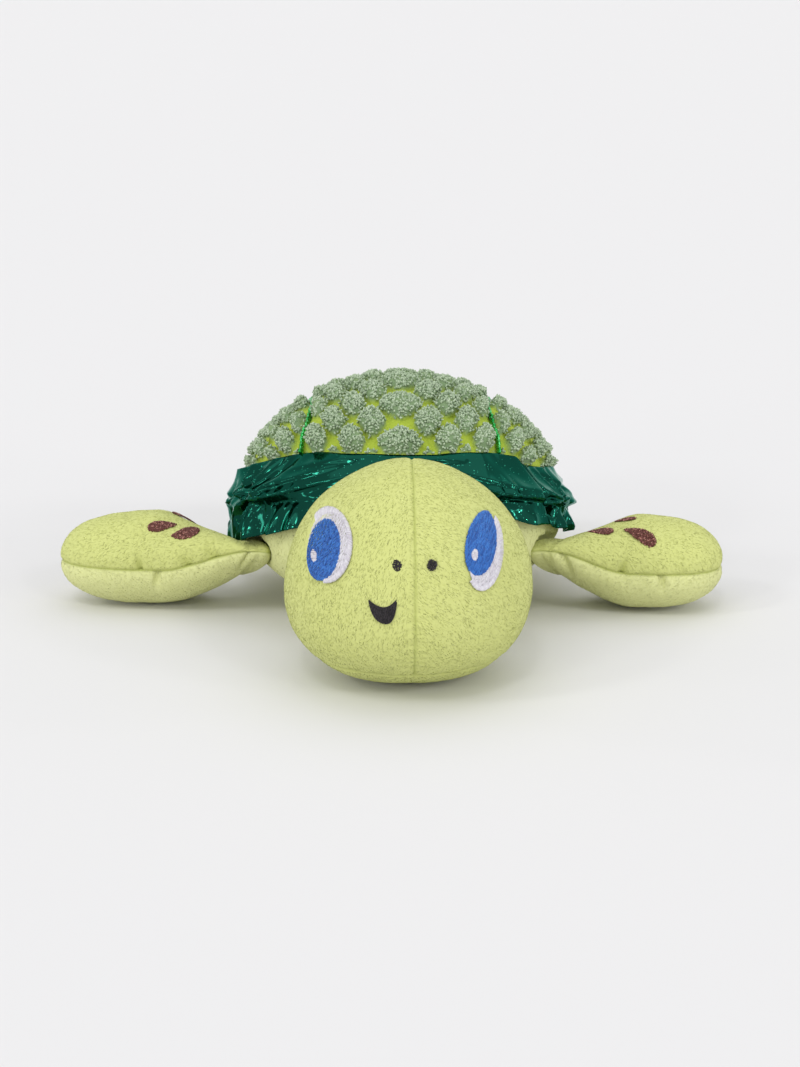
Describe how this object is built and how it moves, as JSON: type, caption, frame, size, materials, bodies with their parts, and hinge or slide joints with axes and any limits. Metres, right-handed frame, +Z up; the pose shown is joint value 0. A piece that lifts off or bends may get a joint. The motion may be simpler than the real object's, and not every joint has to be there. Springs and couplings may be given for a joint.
{
  "type": "plush turtle",
  "caption": "Stuffed turtle lying on its belly, with an egg-shaped head, a domed nub-cloth shell, a gathered foil band round the rim and paddle flippers sewn on at the shoulders and rear.",
  "frame": {"origin": "bottom centre of the bounding box, on the surface that the toy lies on", "axes": "+Z up; the head points along -Y and the rear flippers along +Y; the toy's own left side is at +X"},
  "size_m": [0.2518, 0.2462, 0.0856],
  "materials": {
    "lime_velboa": "matte",
    "pale_velboa": "matte",
    "nub_cloth": "matte",
    "foil": "gloss",
    "piping": "gloss",
    "stuffing": "matte",
    "brown_thread": "satin",
    "white_thread": "satin",
    "blue_thread": "satin",
    "black_thread": "satin"
  },
  "bodies": {
    "body": {"belly_panel": "pale_velboa", "body_stuffing": "stuffing", "shell_centre_panel": "nub_cloth", "shell_left_panel": "nub_cloth", "shell_right_panel": "nub_cloth", "shell_piping_left": "piping", "shell_piping_right": "piping", "foil_band_front": "foil", "foil_band_left": "foil", "foil_band_right": "foil"},
    "head": {"head_left_panel": "lime_velboa", "head_right_panel": "lime_velboa", "chin_panel": "lime_velboa", "head_stuffing": "stuffing", "eye_white_left": "white_thread", "iris_left": "blue_thread", "eye_highlight_left": "white_thread", "eye_white_right": "white_thread", "iris_right": "blue_thread", "eye_highlight_right": "white_thread", "nostril_left": "black_thread", "nostril_right": "black_thread", "mouth": "black_thread"},
    "front_flipper_left": {"front_flipper_left_top_panel": "lime_velboa", "front_flipper_left_bottom_panel": "pale_velboa", "front_flipper_left_stuffing": "stuffing", "front_flipper_left_spot_1": "brown_thread", "front_flipper_left_spot_2": "brown_thread", "front_flipper_left_spot_3": "brown_thread"},
    "front_flipper_right": {"front_flipper_right_top_panel": "lime_velboa", "front_flipper_right_bottom_panel": "pale_velboa", "front_flipper_right_stuffing": "stuffing", "front_flipper_right_spot_1": "brown_thread", "front_flipper_right_spot_2": "brown_thread", "front_flipper_right_spot_3": "brown_thread"},
    "rear_flipper_left": {"rear_flipper_left_top_panel": "lime_velboa", "rear_flipper_left_bottom_panel": "pale_velboa", "rear_flipper_left_stuffing": "stuffing"},
    "rear_flipper_right": {"rear_flipper_right_top_panel": "lime_velboa", "rear_flipper_right_bottom_panel": "pale_velboa", "rear_flipper_right_stuffing": "stuffing"}
  },
  "joints": [
    {"name": "head_nod", "type": "hinge", "parent": "body", "child": "head", "pos_m": [0.00651, -0.01362, 0.036], "axis": [1, 0, 0], "range_deg": [-12, 15], "deforming": ["foil_band_front"]},
    {"name": "front_flipper_left_flap", "type": "hinge", "parent": "body", "child": "front_flipper_left", "pos_m": [0.06471, 0.01038, 0.0175], "axis": [-0.377, -0.8709, 0.3151], "range_deg": [-15, 35], "deforming": ["foil_band_left"]},
    {"name": "front_flipper_right_flap", "type": "hinge", "parent": "body", "child": "front_flipper_right", "pos_m": [-0.05729, 0.01038, 0.0175], "axis": [-0.3542, 0.8854, -0.301], "range_deg": [-15, 35], "deforming": ["foil_band_front", "foil_band_right"]},
    {"name": "rear_flipper_left_flap", "type": "hinge", "parent": "body", "child": "rear_flipper_left", "pos_m": [0.03521, 0.08588, 0.014], "axis": [0.766, -0.6428, 0], "range_deg": [-10, 20], "deforming": ["foil_band_left"]},
    {"name": "rear_flipper_right_flap", "type": "hinge", "parent": "body", "child": "rear_flipper_right", "pos_m": [-0.02779, 0.08588, 0.014], "axis": [0.766, 0.6428, 0], "range_deg": [-10, 20], "deforming": ["foil_band_right"]}
  ]
}
